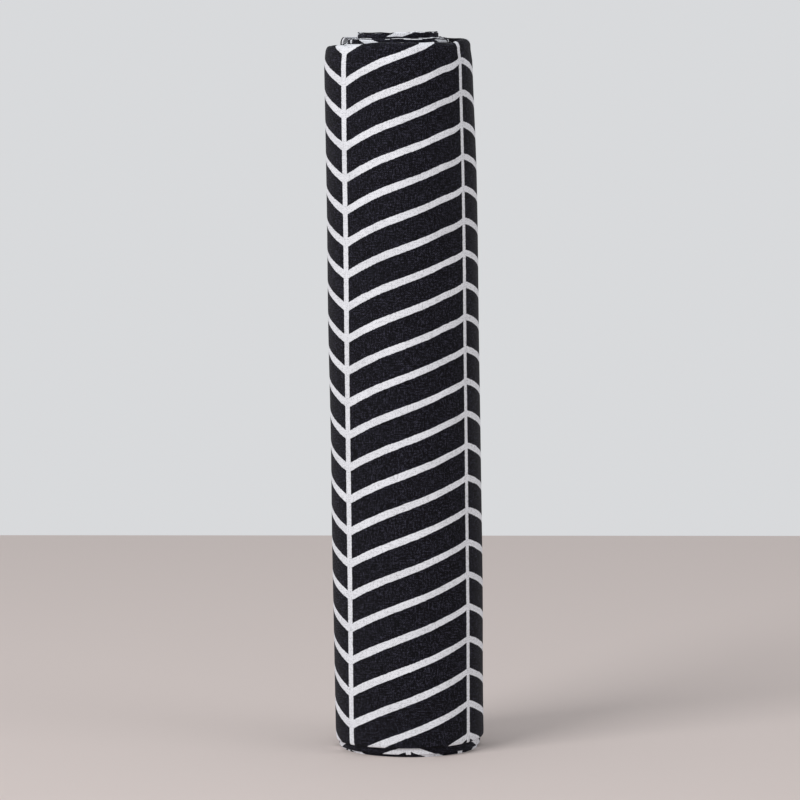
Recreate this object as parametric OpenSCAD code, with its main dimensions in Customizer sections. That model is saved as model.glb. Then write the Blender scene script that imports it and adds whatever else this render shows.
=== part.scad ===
// Long baby wrap sling, stored as a standing roll.
// The cloth is folded to half its width, both rails inwards, so that each turn is two plies
// with a fold at its top and its bottom. It is then wound from its inner end outwards, and
// its last third of a turn, the tail, peels off the roll. The core can be pushed up.
// Frame: origin at the middle of the base, +Z up along the roll, -Y to the front.

/* [Roll] */
// Width of the roll, from side to side
roll_w = 77.5; // [62:0.5:94]
// Depth of the roll, from front to back
roll_d = 84.5; // [68:0.5:102]
// Half the width of the hole that the winding starts round
eye_r = 3; // [2:0.5:6]
// Half the width of the core that slides
core_r = 20.5; // [14:0.5:24]
// Half the width of the turns round the core, where the middle turns start
inner_r = 28; // [26:0.5:30]
// Free air between one turn and the next
turn_air = 0.04; // [0.04:0.01:0.3]
// Azimuth of the cloth's free edge, from the front towards +X
tail_azimuth = 225; // [180:7.5:255]

/* [Cloth] */
// Height of the folded cloth, from fold to fold
fold_h = 350; // [150:10:400]
// Thickness of one ply
ply = 0.42; // [0.3:0.02:0.5]
// Air pressed between the two plies of a turn
ply_air = 0.04; // [0.02:0.01:0.1]
// Gap at mid height between the two rails, which face each other
rail_gap = 3; // [1:0.5:20]
// Width of the overlock seam along each rail
overlock_w = 4; // [3:0.5:8]
// How far the overlock thread stands proud of the ply
overlock_t = 0.03; // [0:0.01:0.03]

/* [Stagger of the turns] */
// Height of the outer turn's lower fold above the base
outer_lift = 4.6; // [2:0.1:10]
// Height of the second turn's lower fold above the base
second_lift = 1.5; // [0.5:0.1:10]
// Height of the middle turns' lower folds above the base
middle_lift = 0.8; // [0.2:0.1:10]
// Height of the inner turns' lower folds above the base
inner_lift = 5.5; // [0.2:0.1:10]
// Height of the core's lower folds above the base
core_lift = 10.6; // [8:0.1:16]

/* [Tail] */
// Length of the end hem, along the turn
hem_w = 8; // [5:0.5:12]
// How much each ply thickens in a hem
hem_t = 0.4; // [0.2:0.05:0.6]
// Width of a row of stitching
thread_w = 0.5; // [0.3:0.05:0.8]
// How far a stitching thread stands proud
thread_t = 0.15; // [0.1:0.05:0.2]
// Distance of the stitching from the hem's inner edge
stitch_inset = 1.5; // [0.8:0.1:2.5]
// Running clearance between bodies that move past each other
clear = 0.3; // [0.25:0.05:0.6]

/* [Labels and markers] */
// Width of the care label, along the rail
label_w = 13; // [8:1:14]
// Length of the care label, down from the rail
label_l = 24; // [15:1:40]
// Thickness of the label's two layers of tape
label_t = 0.2; // [0.1:0.05:0.3]
// Height of a middle marker tape
marker_h = 14; // [8:1:25]
// Thickness of a middle marker tape
marker_t = 0.3; // [0.2:0.05:0.3]

/* [Hidden] */

step = 7.5;                     // facet of the outer turns, in degrees
inner_step = 15;                // facet of the turns inside them
turn = 360;
depth_ratio = roll_d / roll_w;
slab = 2 * ply + ply_air;       // two plies and the air between them
pitch = slab + turn_air;
label_gap = 0.08;               // from the overlock to the label that is sewn on it
tail_drop = slab + overlock_t + label_t + 2 * label_gap + clear + 0.1;  // room under the outer turn
panel = 5 * step;               // arc of one tail panel
hinge_t = [panel, 2 * panel, 3 * panel];
ink = [0.09, 0.09, 0.11];
linen = [0.90, 0.90, 0.92];

// Turn angle t runs inwards from the free edge. Half width of the cloth's outer face at t.
function wound(t) = roll_w / 2 - tail_drop * min(t, turn) / turn - pitch * max(t - turn, 0) / turn;
// Turn angle at which the winding has come down to half width r, on a whole facet.
function turn_at(r) = inner_step * floor((turn + turn * (wound(turn) - r) / pitch) / inner_step);
function to_degrees(arc, r) = arc / r * 180 / PI;
function facets(t0, t1, a) = concat([t0], [for (k = [floor(t0 / a) + 1 : ceil(t1 / a) - 1]) k * a], [t1]);
// The winding grows outwards, so its middle is moved to put the roll's box on the origin.
middle_x = (wound(tail_azimuth - 90) - wound(tail_azimuth + 90)) / 2;
middle_y = (wound(tail_azimuth - 180) - wound(tail_azimuth)) * depth_ratio / 2;
function at(t, d) =
  let (r = wound(t) - d, az = tail_azimuth - t)
  [r * sin(az) - middle_x, -r * depth_ratio * cos(az) - middle_y];

second_t = turn;
third_t = 2 * turn;
middle_t = 3 * turn;
inner_t = turn_at(inner_r);
core_t = turn_at(core_r);
eye_t = turn_at(eye_r);
mid_h = fold_h / 2;
rail_z = rail_gap / 2 + overlock_w;                // from mid height to where a flap's plain cloth ends
hem_arc = to_degrees(hem_w, roll_w / 2);
seam_arc = to_degrees(thread_w, roll_w / 2);
inset_arc = to_degrees(stitch_inset, roll_w / 2);
cut_arc = to_degrees(clear / 2, roll_w / 2);       // half the gap at a hinge between two panels
label_t0 = hem_arc + 1.5;
label_arc = to_degrees(label_w, roll_w / 2);
label_d = slab + overlock_t + label_gap;
core_cut = to_degrees(clear, core_r);
core_hem_arc = 2 * inner_step;
marker_arc = 2 * inner_step;
half_way = turn_at(sqrt((roll_w * roll_w / 4 + eye_r * eye_r) / 2));  // half of the cloth lies inside this
marker_t0 = max(inner_t + inner_step, min(half_way, core_t - marker_arc - inner_step));

// A strip of the winding from turn angle t0 to t1, d0 to d1 below its outer face, z0 to z1 high.
module strip(t0, t1, d0, d1, z0, z1, a = step) {
  ts = facets(t0, t1, a);
  n = len(ts);
  outline = concat([for (t = ts) at(t, d0)], [for (k = [n - 1 : -1 : 0]) at(ts[k], d1)]);
  translate([0, 0, z0]) linear_extrude(z1 - z0) polygon(outline);
}

// Both plies of the folded cloth, with only the outer one at mid height, between the rails.
module folded(t0, t1, lift) {
  z = lift + mid_h;
  difference() {
    strip(t0, t1, 0, slab, lift, lift + fold_h);
    strip(t0 - 1, t1 + 1, ply, slab + turn_air / 2, z - rail_z, z + rail_z);
  }
}

// The overlock seam along one rail. side is 1 for the upper rail and -1 for the lower one.
module overlock(t0, t1, lift, side) {
  near = lift + mid_h + side * rail_gap / 2;
  far = lift + mid_h + side * rail_z;
  strip(t0, t1, ply + ply_air, slab + overlock_t, min(near, far), max(near, far));
}

module overlock_pair(t0, t1, lift) {
  for (side = [-1, 1]) overlock(t0, t1, lift, side);
}

module outer_turn() {
  color(ink) folded(hinge_t[2] + cut_arc, turn, outer_lift);
}

module upper_rail_overlock() {
  color(ink) overlock(hinge_t[2] + cut_arc, turn, outer_lift, 1);
}

module lower_rail_overlock() {
  color(ink) overlock(hinge_t[2] + cut_arc, turn, outer_lift, -1);
}

module second_turn() {
  color(ink) folded(second_t, third_t, second_lift);
}

module third_turn() {
  color(ink) folded(third_t, middle_t, 0);
}

module middle_turns() {
  color(ink) strip(middle_t, inner_t, 0, slab, middle_lift, middle_lift + fold_h, inner_step);
}

// The tapes lie in a pocket on the inner face of one turn, so the next turn covers them.
module marker(side, t_in, grow) {
  z = inner_lift + mid_h + side * (rail_gap + marker_h) / 2;
  grow_arc = to_degrees(grow, inner_r);
  strip(marker_t0 - grow_arc, marker_t0 + marker_arc + grow_arc, slab - marker_t - t_in, slab,
        z - marker_h / 2 - grow, z + marker_h / 2 + grow, inner_step);
}

module inner_turns() {
  color(ink) difference() {
    strip(inner_t, core_t, 0, slab, inner_lift, inner_lift + fold_h, inner_step);
    for (side = [-1, 1]) marker(side, thread_t, clear);
  }
}

module upper_middle_marker() {
  color(linen) marker(1, 0, 0);
}

module lower_middle_marker() {
  color(linen) marker(-1, 0, 0);
}

module marker_stitching() {
  for (side = [-1, 1]) {
    z = inner_lift + mid_h + side * (rail_gap + marker_h) / 2;
    color(linen) strip(marker_t0, marker_t0 + marker_arc, slab - marker_t - thread_t,
                       slab - marker_t, z - thread_w / 2, z + thread_w / 2, inner_step);
  }
}

// The core is wound clear of the turns round it, so that it slides.
module core_strip(t0, t1, d0, d1, inset) {
  strip(t0, t1, clear + d0, clear + d1, core_lift + inset, core_lift + fold_h - inset, inner_step);
}

module core_turns() {
  color(ink) core_strip(core_t + core_cut, eye_t - core_hem_arc, 0, slab, 0);
}

module core_end_hem() {
  color(ink) core_strip(eye_t - core_hem_arc, eye_t, 0, slab + 2 * hem_t, 0);
}

module core_end_stitching() {
  color(ink) core_strip(eye_t - core_hem_arc, eye_t - core_hem_arc + inner_step,
                        slab + 2 * hem_t, slab + 2 * hem_t + thread_t, stitch_inset);
}

module tail_panel(t0, t1) {
  color(ink) folded(t0, t1 - cut_arc, outer_lift);
}

module tail_root() {
  tail_panel(hinge_t[1] + cut_arc, hinge_t[2]);
}

module tail_root_overlock() {
  color(ink) overlock_pair(hinge_t[1] + cut_arc, hinge_t[2] - cut_arc, outer_lift);
}

module tail_middle() {
  tail_panel(hinge_t[0] + cut_arc, hinge_t[1]);
}

module tail_middle_overlock() {
  color(ink) overlock_pair(hinge_t[0] + cut_arc, hinge_t[1] - cut_arc, outer_lift);
}

module tail_end() {
  tail_panel(hem_arc, hinge_t[0]);
}

module tail_end_overlock() {
  color(ink) overlock_pair(hem_arc, hinge_t[0] - cut_arc, outer_lift);
}

// Both plies are turned over twice at the free edge, and stand proud of the roll there.
module tail_end_hem() {
  color(ink) strip(0, hem_arc, -2 * hem_t, slab, outer_lift, outer_lift + fold_h);
}

module tail_end_stitching() {
  color(ink) strip(hem_arc - inset_arc - seam_arc, hem_arc - inset_arc, -2 * hem_t - thread_t,
                   -2 * hem_t, outer_lift + stitch_inset, outer_lift + fold_h - stitch_inset);
}

// The label is caught in the lower rail's overlock, and hangs down over the flap.
module care_label() {
  top = outer_lift + mid_h - rail_gap / 2;
  color(linen) strip(label_t0, label_t0 + label_arc, label_d, label_d + label_t, top - label_l, top);
}

module label_stitching() {
  top = outer_lift + mid_h - rail_gap / 2 - overlock_w / 2;
  color(linen) strip(step * ceil(label_t0 / step), step * floor((label_t0 + label_arc) / step),
                     label_d + label_t, label_d + label_t + label_gap, top - thread_w, top);
}

outer_turn();
upper_rail_overlock();
lower_rail_overlock();
second_turn();
third_turn();
middle_turns();
inner_turns();
upper_middle_marker();
lower_middle_marker();
marker_stitching();
core_turns();
core_end_hem();
core_end_stitching();
tail_root();
tail_root_overlock();
tail_middle();
tail_middle_overlock();
tail_end();
tail_end_overlock();
tail_end_hem();
tail_end_stitching();
care_label();
label_stitching();
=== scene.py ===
import math
from bisect import bisect_right

import bpy
from mathutils import Matrix, Vector


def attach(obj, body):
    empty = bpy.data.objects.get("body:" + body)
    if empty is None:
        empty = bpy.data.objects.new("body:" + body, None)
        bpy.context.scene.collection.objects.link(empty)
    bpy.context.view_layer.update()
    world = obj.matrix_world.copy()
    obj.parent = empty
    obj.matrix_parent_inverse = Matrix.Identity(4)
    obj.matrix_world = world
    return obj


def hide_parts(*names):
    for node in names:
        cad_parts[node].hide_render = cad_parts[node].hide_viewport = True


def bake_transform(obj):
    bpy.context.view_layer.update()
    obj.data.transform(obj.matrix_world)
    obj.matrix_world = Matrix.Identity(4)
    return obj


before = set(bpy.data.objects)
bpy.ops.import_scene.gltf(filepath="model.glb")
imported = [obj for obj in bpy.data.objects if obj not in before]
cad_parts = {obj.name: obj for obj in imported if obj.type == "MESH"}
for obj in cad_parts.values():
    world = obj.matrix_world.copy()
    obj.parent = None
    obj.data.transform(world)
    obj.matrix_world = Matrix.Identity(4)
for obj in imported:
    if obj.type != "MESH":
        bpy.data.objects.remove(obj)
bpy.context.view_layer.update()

mm = 0.001

# the winding, as the CAD has it, in metres and degrees
winding = {
    "halfWidth": 38.75 * mm,
    "depthRatio": 84.5 / 77.5,
    "tailDrop": 1.67 * mm,       # how far the first turn comes in
    "pitch": 0.92 * mm,          # and each turn after it
    "freeEdgeAzimuth": 225,
    "secondTurn": 360,
    "thirdTurn": 720,
    "middleTurns": 1080,
    "innerTurns": 3900,
    "rampStart": 6750,           # where the cloth starts to climb from the roll to the core
    "rampEnd": 6930,
    "innerEnd": 13695,
}
cloth = {
    "foldHeight": 350 * mm,
    "railGap": 3 * mm,
    "ply": 0.36 * mm,
    "outerPly": 0.245 * mm,      # depth of the outer ply's middle below the turn's face
    "innerPly": 0.635 * mm,
    "foldLoop": 0.21 * mm,       # radius of a pressed fold
    "looseLoop": 0.6 * mm,       # and of the outer turn's
}
# turn angle, and height in millimetres of the lower fold above the floor, from the free edge inwards
lifts = [(0, 7.2), (112, 6.1), (225, 4.9), (360, 3.2), (585, 1.5), (720, 0.8), (945, 0.0), (1080, 0.0),
         (1500, 0.7), (3100, 1.0), (3900, 4.0), (4600, 4.8), (5000, 6.6), (6690, 7.3), (6795, 9.5),
         (7200, 9.6), (7500, 9.1), (13695, 8.3)]
# small dips and rises of the outer turn's upper fold: turn angle, half width in degrees, height
dents = [(273, 7, -0.5), (182, 8, -0.9), (158, 9, 0.5), (240, 14, 0.3)]
# how far up the print has crept by a turn angle, as the fold wandered in the rolling
creep = [(4600, 0), (5000, -3), (6640, -3), (6795, 3.2)]


def smooth(x):
    x = min(1.0, max(0.0, x))
    return x * x * (3 - 2 * x)


def between(table, t):
    if t <= table[0][0]:
        return table[0][1]
    for (a, va), (b, vb) in zip(table, table[1:]):
        if t <= b:
            return va + (vb - va) * smooth((t - a) / (b - a))
    return table[-1][1]


def woundRadius(t):
    w = winding
    return w["halfWidth"] - w["tailDrop"] * min(t, 360) / 360 - w["pitch"] * max(t - 360, 0) / 360


edge = winding["freeEdgeAzimuth"]
middleX = (woundRadius(edge - 90) - woundRadius(edge + 90)) / 2
middleY = (woundRadius(edge - 180) - woundRadius(edge)) * winding["depthRatio"] / 2


def onTurn(t, depth):            # a point of the winding, seen from above
    r = woundRadius(t) - depth
    a = math.radians(edge - t)
    return r * math.sin(a) - middleX, -r * winding["depthRatio"] * math.cos(a) - middleY


print("measuring the winding")
arcTurns, arcLengths = [0.0], [0.0]
here = onTurn(0, cloth["outerPly"])
while arcTurns[-1] < winding["innerEnd"]:
    t = arcTurns[-1] + 1.5
    there = onTurn(t, cloth["outerPly"])
    arcLengths.append(arcLengths[-1] + math.dist(here, there))
    arcTurns.append(t)
    here = there


def lengthAt(t):                 # cloth wound on between the free edge and turn angle t
    i = min(max(bisect_right(arcTurns, t) - 1, 0), len(arcTurns) - 2)
    share = (t - arcTurns[i]) / (arcTurns[i + 1] - arcTurns[i])
    return arcLengths[i] + share * (arcLengths[i + 1] - arcLengths[i])


def turnAt(length):
    i = min(max(bisect_right(arcLengths, length) - 1, 0), len(arcLengths) - 2)
    share = (length - arcLengths[i]) / (arcLengths[i + 1] - arcLengths[i])
    return arcTurns[i] + share * (arcTurns[i + 1] - arcTurns[i])


# how the pressed roll differs from the plain winding
settle = {
    "pressed": 0.8 * mm,         # the outer turns come in at both ends
    "sideways": 0.07,            # the section leans, so its front is a little to the right
    "rightDent": 1.5 * mm,       # narrower on the right near the top
    "ripple": 0.0036,
    "pressFrom": 28 * mm,        # radius from which the turns are pressed
    "pressBlend": 6 * mm,
    "pressHeight": 8 * mm,       # how far the pressing reaches in from either end
    "pressTop": 344 * mm,
    "looseFrom": 18 * mm,        # radius from which a turn follows the ripple and the dent
    "dentFrom": 285 * mm,        # where the dent on the right starts, and how far up it grows
    "dentRise": 75 * mm,
    "footRise": 80 * mm,         # a weaker one at the foot
    "footShare": 0.35,
}


def settleRoll(x, y, z):
    s = settle
    ry = y / winding["depthRatio"]
    r = math.hypot(x, ry)
    a = math.atan2(x, -ry)
    outerShare = smooth((r - s["pressFrom"]) / s["pressBlend"])
    reach = s["pressHeight"]
    press = s["pressed"] * (smooth((z - s["pressTop"]) / reach) + smooth((reach - z) / reach))
    k = 1 - press * outerShare / max(r, mm)
    wide = smooth((r - s["looseFrom"]) / s["looseFrom"])
    k *= 1 + s["ripple"] * wide * (math.sin(2 * a + 17 * z + 0.6) * math.sin(31 * z + 1.1)
                                   + 0.5 * math.sin(5 * a - 43 * z) + 0.35 * math.sin(9 * a + 67 * z + 2.0))
    x, y = x * k, y * k
    if x > 0:
        dent = s["rightDent"] * wide / winding["halfWidth"]
        x -= dent * x * smooth((z - s["dentFrom"]) / s["dentRise"])
        x -= dent * x * s["footShare"] * smooth((s["footRise"] - z) / s["footRise"])
    return x - s["sideways"] * y, y, z


def ripple(t, seed):             # nearly the same from one turn to the next, as they nest
    a = math.radians(t)
    return (math.sin(3.01 * a + seed) + 0.7 * math.sin(7.02 * a + 2.1 * seed)
            + 0.5 * math.sin(13.98 * a + 3.3 * seed)) / 2


hem = {
    "width": 8 * mm,
    "thickness": 0.8 * mm,
    "outwards": 0.775 * mm,      # how far the tail's hem stands out of the winding's face
    "air": 0.02 * mm,            # between the two folded edges that lie on each other
    "coreTurns": 30,             # degrees of the innermost turn that are hem
    "coreSeamTurns": 9,          # and from its edge to its stitching
    "stitchInset": 1.5 * mm,
    "stitchPitch": 3 * mm,
    "stitchLength": 2.5 * mm,
    "threadRadius": 0.19 * mm,
}
hemTurn = turnAt(hem["width"])
coreHemTurn = winding["innerEnd"] - hem["coreTurns"]

flapLength = cloth["foldHeight"] / 2 - cloth["railGap"] / 2 - cloth["foldLoop"]
loopLength = math.pi * cloth["foldLoop"]
frontLength = cloth["foldHeight"] - 2 * cloth["foldLoop"]
acrossAt = [0, flapLength, flapLength + loopLength, flapLength + loopLength + frontLength,
            flapLength + 2 * loopLength + frontLength, 2 * flapLength + 2 * loopLength + frontLength]


# middle of the outer and the inner ply below the turn's face, and the fold's radius
def plyDepths(t, hemmed):
    c, h = cloth, hem
    nearTail = smooth((hemTurn + 5 - t) / 5)
    nearCore = smooth((t - (winding["innerEnd"] - 45)) / 15)
    if hemmed:
        middle = h["thickness"] / 2
        outer = -h["outwards"] + middle if t < 360 else middle
        return outer, outer + 2 * middle + 2 * h["air"], middle + h["air"]
    loop = c["foldLoop"] + (c["looseLoop"] - c["foldLoop"]) * smooth((350 - t) / 40)
    outer = c["outerPly"] + (c["ply"] / 2 - h["outwards"] - c["outerPly"]) * nearTail
    inner = c["innerPly"] + 0.6 * mm * nearCore
    return outer, inner, loop + 0.04 * mm * nearTail + 0.3 * mm * nearCore


shoulder = {                     # the outer turn's upper fold leans in over the rest
    "lean": 2.3 * mm,
    "height": 3.3 * mm,
    "flapReach": 2.4 * mm,       # how far from a fold the inner ply comes away from the outer one
    "unevenness": 0.25 * mm,     # of the folds' heights
    "coreUnevenness": 0.35 * mm,
}


def onCloth(t, across, proud=0.0, hemmed=False):
    c, f = cloth, shoulder
    outerPly, innerPly, loop = plyDepths(t, hemmed)
    unevenness = f["unevenness"] + f["coreUnevenness"] * smooth((t - 6500) / 400)
    low = between(lifts, t) * mm + unevenness * 0.6 * (1 + ripple(t, 4.0)) * smooth((t - 1150) / 200)
    high = between(lifts, t) * mm + c["foldHeight"] + unevenness * ripple(t, 1.3)
    for place, reach, height in dents:
        high += height * mm * smooth(1 - abs(t - place) / (2 * reach))
    seam = (low + high) / 2
    v0, v1, v2, v3, v4, v5 = acrossAt
    facing, rise = 0.0, 0.0
    if across <= v1:
        z = seam - c["railGap"] / 2 + (low + loop - seam + c["railGap"] / 2) * across / v1
        facing, side = 1.0, "in"
    elif across <= v2:
        turn = math.pi * (across - v1) / loopLength
        side = "low"
    elif across <= v3:
        z = low + loop + (high - low - 2 * loop) * (across - v2) / frontLength
        facing, side = -1.0, "out"
    elif across <= v4:
        turn = math.pi * (across - v3) / loopLength
        side = "high"
    else:
        z = high - loop + (seam + c["railGap"] / 2 - high + loop) * (across - v4) / (v5 - v4)
        facing, side = 1.0, "in"
    if side == "out":
        depth = outerPly
    elif side == "in":
        near = max(smooth((z - (high - f["flapReach"])) / (f["flapReach"] - loop)),
                   smooth((low + f["flapReach"] - z) / (f["flapReach"] - loop)))
        depth = innerPly + (outerPly + 2 * loop - innerPly) * near
    elif side == "low":
        depth = outerPly + loop + loop * math.cos(turn)
        z = low + loop - loop * math.sin(turn)
        facing, rise = math.cos(turn), -math.sin(turn)
    else:
        depth = outerPly + loop - loop * math.cos(turn)
        z = high - loop + loop * math.sin(turn)
        facing, rise = -math.cos(turn), math.sin(turn)
    curl = f["lean"] * smooth((365 - t) / 60)
    x = min(0.985, max(0.0, (z - (high - f["height"])) / f["height"]))
    depth += curl * (1 - math.sqrt(1 - x * x)) + proud * facing
    px, py = onTurn(t, depth)
    return settleRoll(px, py, z + proud * rise)


def rowsAcross(fine):            # places across the cloth, closer together towards the folds
    v0, v1, v2, v3, v4, v5 = acrossAt
    rows = []
    flap = 10 if fine else 4
    rows += [v1 * (k / flap) * 0.985 for k in range(flap + 1)]
    rows += [v1 - 1.6 * mm, v1 - 0.8 * mm]
    bends = 8 if fine else 5
    rows += [v1 + (v2 - v1) * k / bends for k in range(bends + 1)]
    rows += [v2 + d * mm for d in ((0.8, 1.8, 3.2, 5.0, 7.5) if fine else (3, 8))]
    count = 62 if fine else 10
    rows += [v2 + 10 * mm + (v3 - v2 - 20 * mm) * k / count for k in range(count + 1)]
    close = (7.5, 5.6, 4.2, 3.3, 2.7, 2.1, 1.6, 1.1, 0.7, 0.4, 0.15) if fine else (8, 3, 1)
    rows += [v3 - d * mm for d in close]
    rows += [v3 + (v4 - v3) * k / bends for k in range(bends + 1)]
    rows += [v4 + 0.8 * mm, v4 + 1.6 * mm]
    rows += [v4 + (v5 - v4) * (0.015 + 0.985 * k / flap) for k in range(flap + 1)]
    return sorted(set(rows))


def newMesh(name, points, faces, across):
    mesh = bpy.data.meshes.new(name)
    mesh.from_pydata(points, [], faces)
    uv = mesh.uv_layers.new(name="cloth")
    for loop in mesh.loops:
        uv.data[loop.index].uv = across[loop.vertex_index]
    mesh.update()
    piece = bpy.data.objects.new(name, mesh)
    bpy.context.scene.collection.objects.link(piece)
    return piece


def only(piece):
    bpy.ops.object.select_all(action="DESELECT")
    piece.select_set(True)
    bpy.context.view_layer.objects.active = piece


def finishCloth(piece, thickness, finish):
    for m in finish:
        piece.data.materials.append(m)
    only(piece)
    solid = piece.modifiers.new("ply", "SOLIDIFY")
    solid.thickness = thickness
    solid.offset = 0
    solid.material_offset = 1
    solid.use_rim = True
    bpy.ops.object.modifier_apply(modifier=solid.name)
    bpy.ops.object.shade_smooth_by_angle(angle=math.radians(40))
    return piece


def woundStrip(name, t0, t1, step, fine, finish, hemmed=False):
    turns = [t0 + (t1 - t0) * k / round((t1 - t0) / step) for k in range(round((t1 - t0) / step) + 1)]
    rows = rowsAcross(fine)
    points, uvs, faces = [], [], []
    for t in turns:
        s = lengthAt(t)
        for v in rows:
            points.append(onCloth(t, v, 0.0, hemmed))
            uvs.append((s, v - between(creep, t) * mm))
    n = len(rows)
    for i in range(len(turns) - 1):
        for j in range(n - 1):
            a = i * n + j
            faces.append((a, a + 1, a + n + 1, a + n))
    piece = newMesh(name, points, faces, uvs)
    return finishCloth(piece, hem["thickness"] if hemmed else cloth["ply"], finish)


printPlan = {
    "vLine": lengthAt(278),      # length where the first column's arms start to rise
    "columnWidth": (lengthAt(6990) - lengthAt(278)) / 51,
    "fan": 0.26,                 # how much wider the first column is towards the bottom
    "pitch": 16.1 * mm,
    "phase": -0.4 * mm,
    "rise": 0.415,
    "flatten": 0.5,
    "skew": 0.0075,
    "hang": 0.05,                # the arms hang a little towards both folds
    "wander": 0.8 * mm,          # how uneven the arms are in width
    "armAtV": 4.25 * mm,
    "armAtTop": 3.1 * mm,
    "vLineWidth": 3.6 * mm,
    "topLineWidth": 2.5 * mm,
    "ground": (0.0060, 0.0059, 0.0090),
    "ink": (0.815, 0.828, 0.875),
    "backGround": ((0.05, 0.05, 0.06), (0.16, 0.16, 0.18)),
    "backInk": ((0.42, 0.42, 0.45), (0.6, 0.6, 0.62)),
}


def opaque(colour, share=1):
    return tuple(x * share for x in colour) + (1,)


class Wiring:                    # adds nodes to a material or a world and joins them up
    def __init__(self, owner, output="ShaderNodeOutputMaterial"):
        owner.use_nodes = True
        self.owner = owner
        self.tree = owner.node_tree
        self.tree.nodes.clear()
        self.out = self.tree.nodes.new(output)

    def node(self, kind, **settings):
        n = self.tree.nodes.new(kind)
        for k, v in settings.items():
            setattr(n, k, v)
        return n

    def put(self, value, socket):
        if hasattr(value, "is_output"):
            self.tree.links.new(value, socket)
        else:
            socket.default_value = value

    def math(self, operation, *values):
        n = self.node("ShaderNodeMath", operation=operation)
        for v, s in zip(values, n.inputs):
            self.put(v, s)
        return n.outputs[0]

    def ramp(self, value, low, high, a=0.0, b=1.0):
        n = self.node("ShaderNodeMapRange", interpolation_type="SMOOTHSTEP")
        for v, s in zip((value, low, high, a, b), n.inputs):
            self.put(v, s)
        return n.outputs[0]

    def stretch(self, vector, scale):
        n = self.node("ShaderNodeVectorMath", operation="MULTIPLY")
        self.put(vector, n.inputs[0])
        n.inputs[1].default_value = scale
        return n.outputs[0]

    def noise(self, vector, scale, detail=2.0):
        n = self.node("ShaderNodeTexNoise")
        self.put(vector, n.inputs["Vector"])
        n.inputs["Scale"].default_value = scale
        n.inputs["Detail"].default_value = detail
        return n.outputs[0]

    def seenDirectly(self):      # 1 for what the camera sees itself, in glass or in a mirror
        seen = self.node("ShaderNodeLightPath")
        other = self.math("MAXIMUM", seen.outputs["Is Glossy Ray"], seen.outputs["Is Transmission Ray"])
        return self.math("MAXIMUM", seen.outputs["Is Camera Ray"], other)

    def mix(self, share, a, b):
        n = self.node("ShaderNodeMix", data_type="RGBA")
        self.put(share, n.inputs[0])
        self.put(a, n.inputs[6])
        self.put(b, n.inputs[7])
        return n.outputs[2]


weave = {
    "threadsPerMetre": 1900,
    "slubsPerMetre": 260,
    "flecksPerMetre": 1450,
    "twillPitch": 1.1 * mm,
}


def threadTexture(w, uv, s, v):  # crossing slubs, twill lines and flecks, from 0 to 1, about 0.5
    fine, coarse = weave["threadsPerMetre"], weave["slubsPerMetre"]
    along = w.noise(w.stretch(uv, (coarse, fine, 1)), 1.0, 2.0)
    across = w.noise(w.stretch(uv, (fine, coarse, 1)), 1.0, 2.0)
    flecks = w.noise(uv, weave["flecksPerMetre"], 2.0)
    twill = w.math("SINE", w.math("MULTIPLY", w.math("ADD", s, v), 2 * math.pi / weave["twillPitch"]))
    shares = ((along, 0.27), (across, 0.27), (flecks, 0.46), (twill, 0.035))
    threads = w.math("MULTIPLY", shares[0][0], shares[0][1])
    for part, share in shares[1:]:
        threads = w.math("ADD", threads, w.math("MULTIPLY", part, share))
    return threads


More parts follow.
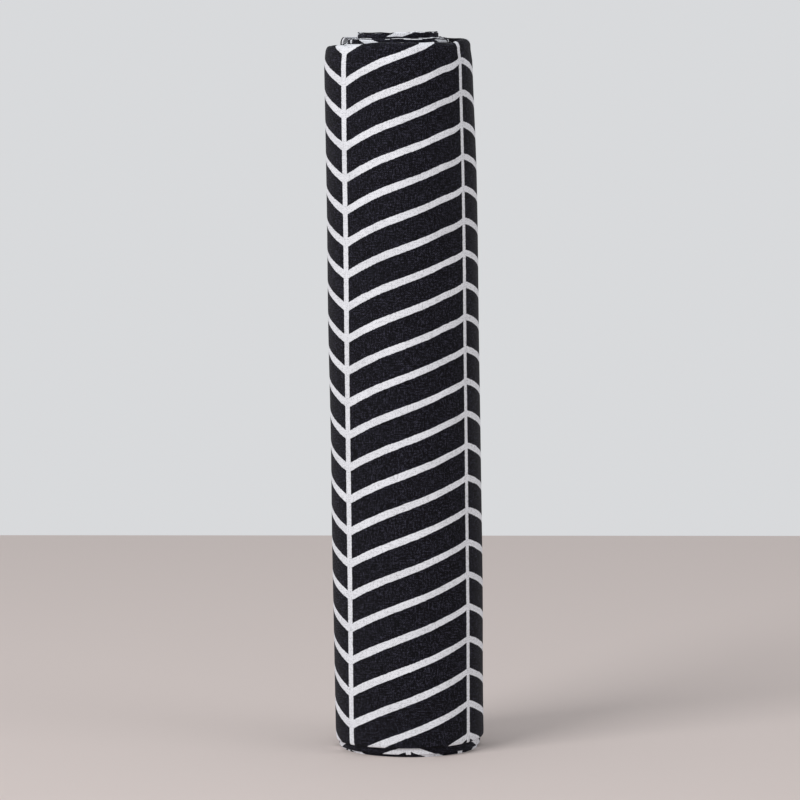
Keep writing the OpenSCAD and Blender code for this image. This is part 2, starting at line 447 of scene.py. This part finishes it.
def printedCloth(name, wrongSide=False):
    p = printPlan
    w = Wiring(bpy.data.materials.new(name))
    uv = w.node("ShaderNodeUVMap", uv_map="cloth").outputs[0]
    split = w.node("ShaderNodeSeparateXYZ")
    w.put(uv, split.inputs[0])
    s, v = split.outputs[0], split.outputs[1]
    threads = threadTexture(w, uv, s, v)
    raggedness = w.math("MULTIPLY", w.math("SUBTRACT", w.noise(uv, 900, 2.0), 0.5), 0.7 * mm)
    fromMiddle = w.math("SUBTRACT", v, cloth["foldHeight"])
    leaned = w.math("ADD", w.math("SUBTRACT", s, p["vLine"]), w.math("MULTIPLY", fromMiddle, p["skew"]))
    firstColumn = w.math("MINIMUM", w.math("MAXIMUM", leaned, 0.0), p["columnWidth"])
    fanned = w.math("MULTIPLY", w.math("MULTIPLY", firstColumn, fromMiddle), p["fan"])
    leaned = w.math("ADD", leaned, fanned)
    m = w.math("PINGPONG", leaned, p["columnWidth"])
    arm = w.math("SUBTRACT", w.math("MULTIPLY", m, p["rise"]),
                 w.math("MULTIPLY", w.math("MULTIPLY", m, m), p["flatten"]))
    hung = w.math("ADD", v, w.math("MULTIPLY", w.math("MULTIPLY", fromMiddle, fromMiddle), p["hang"]))
    place = w.math("DIVIDE", w.math("SUBTRACT", w.math("SUBTRACT", hung, p["phase"]), arm), p["pitch"])
    fromArm = w.math("ABSOLUTE", w.math("SUBTRACT", w.math("FRACT", place), 0.5))
    off = w.math("MULTIPLY", fromArm, p["pitch"])
    taper = (p["armAtTop"] - p["armAtV"]) / 2 / p["columnWidth"]
    wander = w.math("MULTIPLY", w.math("SUBTRACT", w.noise(uv, 110, 2.0), 0.5), p["wander"])
    half = w.math("ADD", w.math("ADD", w.math("MULTIPLY", m, taper), p["armAtV"] / 2), wander)
    inArm = w.math("SUBTRACT", half, off)
    inV = w.math("SUBTRACT", p["vLineWidth"] / 2, m)
    inTop = w.math("SUBTRACT", m, p["columnWidth"] - p["topLineWidth"] / 2)
    inside = w.math("MAXIMUM", w.math("MAXIMUM", inArm, inV), inTop)
    ink = w.ramp(w.math("ADD", inside, raggedness), -0.1 * mm, 0.1 * mm)
    cloudy = w.noise(uv, 45, 3.0)
    if wrongSide:
        dark = w.mix(threads, *(opaque(c) for c in p["backGround"]))
        pale = w.mix(threads, *(opaque(c) for c in p["backInk"]))
    else:
        dark = w.mix(w.ramp(threads, 0.49, 0.64), opaque(p["ground"], 0.5), opaque(p["ground"], 8))
        pale = w.mix(w.ramp(threads, 0.4, 0.52), opaque(p["ink"], 0.7), opaque(p["ink"], 1.08))
    colour = w.mix(ink, dark, pale)
    tone = w.node("ShaderNodeHueSaturation")
    w.put(colour, tone.inputs["Color"])
    w.put(w.ramp(cloudy, 0.25, 0.75, 0.93, 1.05), tone.inputs["Value"])
    shader = w.node("ShaderNodeBsdfPrincipled")
    w.put(tone.outputs[0], shader.inputs["Base Color"])
    w.put(w.ramp(threads, 0.3, 0.7, 0.9, 0.78), shader.inputs["Roughness"])
    shader.inputs["Specular IOR Level"].default_value = 0.12
    shader.inputs["Sheen Weight"].default_value = 0.03
    shader.inputs["Sheen Roughness"].default_value = 0.4
    bump = w.node("ShaderNodeBump")
    bump.inputs["Strength"].default_value = 0.45
    bump.inputs["Distance"].default_value = 0.12 * mm
    w.put(w.math("ADD", threads, w.math("MULTIPLY", ink, 0.12)), bump.inputs["Height"])
    w.put(bump.outputs[0], shader.inputs["Normal"])
    w.put(shader.outputs[0], w.out.inputs[0])
    return w.owner


def thread(name, low, high):
    w = Wiring(bpy.data.materials.new(name))
    place = w.node("ShaderNodeTexCoord").outputs["Object"]
    strands = w.noise(w.stretch(place, (5200, 5200, 1800)), 1.0, 2.0)
    shader = w.node("ShaderNodeBsdfPrincipled")
    w.put(w.mix(w.ramp(strands, 0.35, 0.65), opaque(low), opaque(high)), shader.inputs["Base Color"])
    shader.inputs["Roughness"].default_value = 0.6
    shader.inputs["Sheen Weight"].default_value = 0.15
    bump = w.node("ShaderNodeBump")
    bump.inputs["Strength"].default_value = 0.4
    bump.inputs["Distance"].default_value = 0.05 * mm
    w.put(strands, bump.inputs["Height"])
    w.put(bump.outputs[0], shader.inputs["Normal"])
    w.put(shader.outputs[0], w.out.inputs[0])
    return w.owner


print("mixing the materials")
rightSide = printedCloth("herringboneCloth")
wrongSide = printedCloth("herringboneClothWrongSide", wrongSide=True)
blackThread = thread("blackThread", (0.012, 0.012, 0.015), (0.05, 0.05, 0.058))
whiteThread = thread("whiteThread", (0.62, 0.62, 0.6), (0.82, 0.82, 0.8))
whiteTape = thread("whiteTape", (0.7, 0.7, 0.69), (0.84, 0.84, 0.82))
clothFinish = (rightSide, wrongSide)

bendTurns = [29, 56.25, 93.75, 125]   # where one stretch of the tail gives over to the next
print("winding the cloth")
stretches = {                    # turn angles, step, fine, body or bodies, CAD nodes
    "outerTurn": (bendTurns[3], winding["secondTurn"], 2.5, True, "roll", ["outer_turn"]),
    "secondTurn": (winding["secondTurn"], winding["thirdTurn"], 4, True, "roll", ["second_turn"]),
    "thirdTurn": (winding["thirdTurn"], winding["middleTurns"], 4, True, "roll", ["third_turn"]),
    "middleTurns": (winding["middleTurns"], winding["innerTurns"], 7.5, False, "roll", ["middle_turns"]),
    "innerTurns": (winding["innerTurns"], winding["rampStart"], 7.5, False, "roll", ["inner_turns"]),
    "coreRamp": (winding["rampStart"], winding["rampEnd"], 4.5, False, ("roll", "core"), []),
    "coreTurns": (winding["rampEnd"], coreHemTurn, 12, False, "core", ["core_turns"]),
    "coreEndHem": (coreHemTurn, winding["innerEnd"], 5, True, "core", ["core_end_hem"]),
    "tailEndHem": (0, hemTurn, 1.0, True, "tail_end_panel", ["tail_end_hem"]),
    "tailRootBend": (bendTurns[2], bendTurns[3], 1.25, True, ("roll", "tail_root_panel"), ["tail_root"]),
    "tailMiddleBend": (bendTurns[1], bendTurns[2], 1.25, True, ("tail_root_panel", "tail_middle_panel"),
                       ["tail_middle"]),
    "tailEndBend": (bendTurns[0], bendTurns[1], 1.25, True, ("tail_middle_panel", "tail_end_panel"),
                    ["tail_end"]),
    "tailEnd": (hemTurn, bendTurns[0], 1.0, True, "tail_end_panel", []),
}


def join(piece, bodies):
    if isinstance(bodies, str):
        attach(piece, bodies)
    elif piece.name == "coreRamp":
        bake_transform(piece)
    else:                        # bodies run from the inner end of a tail stretch to its outer end, but are not read here; the stretch stays where it was wound
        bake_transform(piece)


for name, (t0, t1, step, fine, bodies, nodes) in stretches.items():
    piece = woundStrip(name, t0, t1, step, fine, clothFinish, "Hem" in name)
    join(piece, bodies)
    if nodes:
        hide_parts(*nodes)
    if "Hem" not in name:
        lengthAt(t1) - lengthAt(t0)
    print("  ", name, len(piece.data.vertices), "points")


def makeStitch(length, radius, middle, way):   # a lock stitch that lies along x (way 0) or y (way 1)
    straight = 0.66              # share of its length before it dips into the cloth at both ends
    bpy.ops.object.select_all(action="DESELECT")
    lie = (0, math.pi / 2, 0) if way == 0 else (math.pi / 2, 0, 0)
    bpy.ops.mesh.primitive_cylinder_add(vertices=6, radius=radius, depth=length * straight, rotation=lie)
    bpy.ops.object.transform_apply(location=False, rotation=True, scale=True)
    stitch = bpy.context.active_object
    for face in stitch.data.polygons:
        face.select = abs(face.normal[way]) > 0.9
    bpy.ops.object.mode_set(mode="EDIT")
    bpy.ops.mesh.select_mode(type="FACE")
    bpy.ops.mesh.extrude_region()
    taper = [0.35, 0.35, 0.35]
    taper[way] = 1 / straight
    bpy.ops.transform.resize(value=taper, center_override=(0, 0, 0))
    bpy.ops.mesh.select_all(action="SELECT")
    bpy.ops.transform.translate(value=middle)
    bpy.ops.object.mode_set(mode="OBJECT")
    return stitch


def repeat(piece, count, step):
    only(piece)
    row = piece.modifiers.new("row", "ARRAY")
    row.count = count
    row.use_relative_offset = False
    row.use_constant_offset = True
    row.constant_offset_displace = step
    bpy.ops.object.modifier_apply(modifier=row.name)
    return piece


def seam(start, end, across, proud, way, pitch, length, radius):   # a row of stitches
    low = (start, across, proud) if way == 0 else (across, start, proud)
    count = max(1, int((end - start) / pitch))
    step = (end - start) / count
    middle = list(low)
    middle[way] += step / 2
    along = [0, 0, 0]
    along[way] = step
    return repeat(makeStitch(length, radius, middle, way), count, along)


def merge(name, pieces):
    only(pieces[0])
    for piece in pieces:
        piece.select_set(True)
    bpy.ops.object.join()
    pieces[0].name = name
    pieces[0].data.name = name
    return pieces[0]


def windOn(piece, hemmed=False):  # from flat, x along the cloth, y across it and z proud of it
    for corner in piece.data.vertices:
        x, y, z = corner.co
        corner.co = onCloth(turnAt(x), y, z, hemmed)
    only(piece)
    bpy.ops.object.mode_set(mode="EDIT")
    bpy.ops.mesh.select_all(action="SELECT")
    bpy.ops.mesh.normals_make_consistent(inside=False)
    bpy.ops.object.mode_set(mode="OBJECT")
    return piece


def finishTrim(piece, finish, nodes):
    piece.data.materials.clear()
    piece.data.materials.append(finish)
    only(piece)
    bpy.ops.object.shade_smooth_by_angle(angle=math.radians(60))
    if nodes:
        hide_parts(*nodes)
    print("  ", piece.name, len(piece.data.polygons), "faces")


print("stitching the hems")
flapEdge = acrossAt[5]


def hemSeam(name, along, proud, body, node):
    h, clear = hem, 2 * mm       # the rows stop short of the folds
    rows = [(h["stitchInset"], acrossAt[1] - clear), (acrossAt[2] + clear, acrossAt[3] - clear),
            (acrossAt[4] + clear, flapEdge - h["stitchInset"])]
    sewn = [seam(low, high, along, side * proud, 1, h["stitchPitch"], h["stitchLength"], h["threadRadius"])
            for low, high in rows for side in (1, -1)]
    piece = windOn(merge(name, sewn), hemmed=True)
    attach(piece, body)
    finishTrim(piece, blackThread, [node])


stitchProud = hem["thickness"] / 2 + 0.06 * mm
hemSeam("tailEndStitching", hem["width"] - hem["stitchInset"], stitchProud, "tail_end_panel",
        "tail_end_stitching")
hemSeam("coreEndStitching", lengthAt(coreHemTurn + hem["coreSeamTurns"]), stitchProud, "core",
        "core_end_stitching")

print("overlocking the rails")
overlock = {
    "width": 4 * mm,
    "pitch": 2.2 * mm,
    "bite": 0.27 * mm,           # half the height of a loop round the edge
    "thread": 0.09 * mm,
    "slant": 14,
    "edgeThread": 0.2 * mm,
    "edgeOut": 0.12 * mm,        # how far the edge thread lies outside the rail
    "overhang": 0.25 * mm,       # and the loops round it
    "needleInset": 0.5 * mm,     # from the loops' inner ends to the needle's line
}


def overlockRow(start, end, rail, inwards):
    o = overlock
    middle = rail + inwards * (o["width"] / 2 - o["overhang"])
    bpy.ops.object.select_all(action="DESELECT")
    bpy.ops.mesh.primitive_torus_add(major_segments=10, minor_segments=4, major_radius=o["width"] / 2,
                                     minor_radius=o["thread"], rotation=(0, math.pi / 2, 0))
    bpy.ops.object.transform_apply(location=False, rotation=True, scale=True)
    loop = bpy.context.active_object
    bpy.ops.object.mode_set(mode="EDIT")
    bpy.ops.mesh.select_all(action="SELECT")
    bpy.ops.transform.resize(value=(1.6, 1, o["bite"] / (o["width"] / 2)), center_override=(0, 0, 0))
    bpy.ops.transform.rotate(value=math.radians(o["slant"]), orient_axis="Z", center_override=(0, 0, 0))
    count = int((end - start) / o["pitch"])
    step = (end - start) / count
    bpy.ops.transform.translate(value=(start + step / 2, middle, 0))
    bpy.ops.object.mode_set(mode="OBJECT")
    loops = repeat(loop, count, (step, 0, 0))
    outside = rail - inwards * o["edgeOut"]
    edge = seam(start, end, outside, 0.0, 0, o["pitch"], o["pitch"] * 1.15, o["edgeThread"])
    needle = rail + inwards * (o["width"] - o["needleInset"])
    line = seam(start, end, needle, o["bite"], 0, o["pitch"], o["pitch"] * 0.95, o["thread"] * 1.3)
    return [loops, edge, line]


overlocked = {                   # turn angles, which rails (0 lower, 1 upper), body or bodies, CAD nodes
    "upperRailOverlock": (bendTurns[3], 360, (1,), "roll", ["upper_rail_overlock"]),
    "lowerRailOverlock": (bendTurns[3], 360, (0,), "roll", ["lower_rail_overlock"]),
    "tailRootOverlock": (bendTurns[2], bendTurns[3], (0, 1), ("roll", "tail_root_panel"),
                         ["tail_root_overlock"]),
    "tailMiddleOverlock": (bendTurns[1], bendTurns[2], (0, 1), ("tail_root_panel", "tail_middle_panel"),
                           ["tail_middle_overlock"]),
    "tailEndBendOverlock": (bendTurns[0], bendTurns[1], (0, 1), ("tail_middle_panel", "tail_end_panel"),
                            ["tail_end_overlock"]),
    "tailEndOverlock": (hemTurn, bendTurns[0], (0, 1), "tail_end_panel", []),
}
for name, (t0, t1, rails, bodies, nodes) in overlocked.items():
    rows = []
    for rail in rails:
        rows += overlockRow(lengthAt(t0), lengthAt(t1), flapEdge if rail else 0.0, -1 if rail else 1)
    piece = windOn(merge(name, rows))
    join(piece, bodies)
    finishTrim(piece, blackThread, nodes)

print("sewing on the tapes")
tape = {
    "markerHeight": 14 * mm,
    "markerTurns": (4110, 4140),
    "markerProud": 0.25 * mm,
    "markerThickness": 0.12 * mm,
    "labelTurns": (13.33, 32.55),
    "labelHeight": 24 * mm,
    "labelProud": 0.47 * mm,
    "labelThickness": 0.2 * mm,
    "labelInset": 0.4 * mm,      # from the rail's edge to the label's
    "labelSeam": 1.2 * mm,       # and to its stitching
    "drawnIn": 0.25 * mm,        # at the cut edges, between the two layers
    "wave": 0.04 * mm,
    "stitchPitch": 2 * mm,
    "stitchLength": 1.7 * mm,
    "threadRadius": 0.09 * mm,
}


def makeTape(name, start, end, low, high, proud, thickness):   # two layers, open along three edges
    bpy.ops.object.select_all(action="DESELECT")
    bpy.ops.mesh.primitive_cube_add(size=1)
    piece = bpy.context.active_object
    piece.name = name
    bpy.ops.object.mode_set(mode="EDIT")
    bpy.ops.mesh.select_all(action="SELECT")
    bpy.ops.transform.resize(value=(end - start, high - low, thickness), center_override=(0, 0, 0))
    bpy.ops.mesh.subdivide(number_cuts=9)
    bpy.ops.transform.translate(value=((start + end) / 2, (low + high) / 2, proud))
    bpy.ops.object.mode_set(mode="OBJECT")
    rim = thickness * 0.3
    for corner in piece.data.vertices:           # the cut edges draw in between the two layers
        x, y, z = corner.co
        flatEnd = min(x - start, end - x, y - low, high - y) < 1e-6
        if flatEnd and abs(z - proud) < rim:
            corner.co.x += tape["drawnIn"] * (1 if x - start < 1e-6 else -1 if end - x < 1e-6 else 0)
            corner.co.y += tape["drawnIn"] * (1 if y - low < 1e-6 else -1 if high - y < 1e-6 else 0)
        corner.co.z += tape["wave"] * math.sin(900 * x + 400 * y)
    return piece


t0, t1 = tape["markerTurns"]
markerSeams = []
for name, low in (("lowerMiddleMarker", 0.0), ("upperMiddleMarker", flapEdge - tape["markerHeight"])):
    piece = makeTape(name, lengthAt(t0), lengthAt(t1), low, low + tape["markerHeight"],
                     tape["markerProud"], tape["markerThickness"])
    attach(windOn(piece), "roll")
    finishTrim(piece, whiteTape, ["lower_middle_marker" if low == 0.0 else "upper_middle_marker"])
    markerSeams.append(seam(lengthAt(t0) + mm, lengthAt(t1) - mm, low + tape["markerHeight"] / 2,
                            tape["markerProud"] + 0.07 * mm, 0, tape["stitchPitch"], tape["stitchLength"],
                            tape["threadRadius"]))
piece = windOn(merge("markerStitching", markerSeams))
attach(piece, "roll")
finishTrim(piece, blackThread, ["marker_stitching"])

t0, t1 = tape["labelTurns"]
piece = makeTape("careLabel", lengthAt(t0), lengthAt(t1), tape["labelInset"], tape["labelHeight"],
                 tape["labelProud"], tape["labelThickness"])
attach(windOn(piece), "tail_end_panel")
finishTrim(piece, whiteTape, ["care_label"])
piece = seam(lengthAt(t0) + mm, lengthAt(t1) - mm, tape["labelSeam"], tape["labelProud"] + 0.14 * mm, 0,
             tape["stitchPitch"], tape["stitchLength"], tape["threadRadius"])
piece.name = "labelStitching"
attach(windOn(piece), "tail_end_panel")
finishTrim(piece, blackThread, ["label_stitching"])

print("setting the stage")
view = {
    "lens": 210, "distance": 2.339, "height": 0.3874, "aside": -0.0024,
    "pitch": 5.179, "roll": -0.907,
    "floorBehind": 0.889, "floorTurn": -8.0, "floorReach": 3.0,
    "lampsAimAt": 0.18,
}
camera = bpy.data.objects.new("camera", bpy.data.cameras.new("camera"))
bpy.context.scene.collection.objects.link(camera)
camera.data.lens = view["lens"]
camera.data.sensor_width = 36
camera.data.clip_end = 30
camera.matrix_world = (Matrix.Translation((view["aside"], -view["distance"], view["height"]))
                       @ Matrix.Rotation(math.radians(90 - view["pitch"]), 4, "X")
                       @ Matrix.Rotation(math.radians(view["roll"]), 4, "Z"))
bpy.context.scene.camera = camera

floorTone = (0.72, 0.635, 0.605)
wallTone = (0.69, 0.70, 0.715)


def plainFinish(name, colour):
    w = Wiring(bpy.data.materials.new(name))
    shader = w.node("ShaderNodeBsdfPrincipled")
    w.put(w.mix(w.seenDirectly(), opaque(colour, 0.9), opaque(colour)), shader.inputs["Base Color"])
    shader.inputs["Roughness"].default_value = 0.85
    shader.inputs["Specular IOR Level"].default_value = 0.2
    w.put(shader.outputs[0], w.out.inputs[0])
    return w.owner


bpy.ops.object.select_all(action="DESELECT")
bpy.ops.mesh.primitive_plane_add(size=1, location=(0, 0, 0))
floor = bpy.context.active_object
floor.name = "floor"
back = view["floorBehind"]
turn = math.tan(math.radians(view["floorTurn"]))
for corner in floor.data.vertices:
    right = view["floorReach"] * (1 if corner.co.x > 0 else -1)
    corner.co = Vector((right, back + turn * right if corner.co.y > 0 else -view["floorReach"], 0))
floor.data.materials.append(plainFinish("paleFloor", floorTone))

studio = {"sky": (0.96, 0.98, 1.0), "skyStrength": 0.52}
bpy.context.scene.world = bpy.data.worlds.new("studio")
w = Wiring(bpy.context.scene.world, "ShaderNodeOutputWorld")
pick = w.node("ShaderNodeMixShader")
w.put(w.seenDirectly(), pick.inputs[0])
for socket, colour, strength in ((1, studio["sky"], studio["skyStrength"]), (2, wallTone, 1.0)):
    glow = w.node("ShaderNodeBackground")
    glow.inputs[0].default_value = opaque(colour)
    glow.inputs[1].default_value = strength
    w.put(glow.outputs[0], pick.inputs[socket])
w.put(pick.outputs[0], w.out.inputs[0])

lamps = {
    "keyLamp": ((-1.45, -1.45, 1.6), 1.3, 32.0),
    "fillLamp": ((1.8, -1.3, 1.2), 1.2, 7.0),
}
for name, (place, size, power) in lamps.items():
    lamp = bpy.data.objects.new(name, bpy.data.lights.new(name, "AREA"))
    bpy.context.scene.collection.objects.link(lamp)
    lamp.data.size = size
    lamp.data.energy = power
    lamp.location = place
    aim = Vector((0, 0, view["lampsAimAt"])) - Vector(place)
    lamp.rotation_euler = aim.to_track_quat("-Z", "Y").to_euler()

bpy.context.scene.view_settings.view_transform = "Standard"
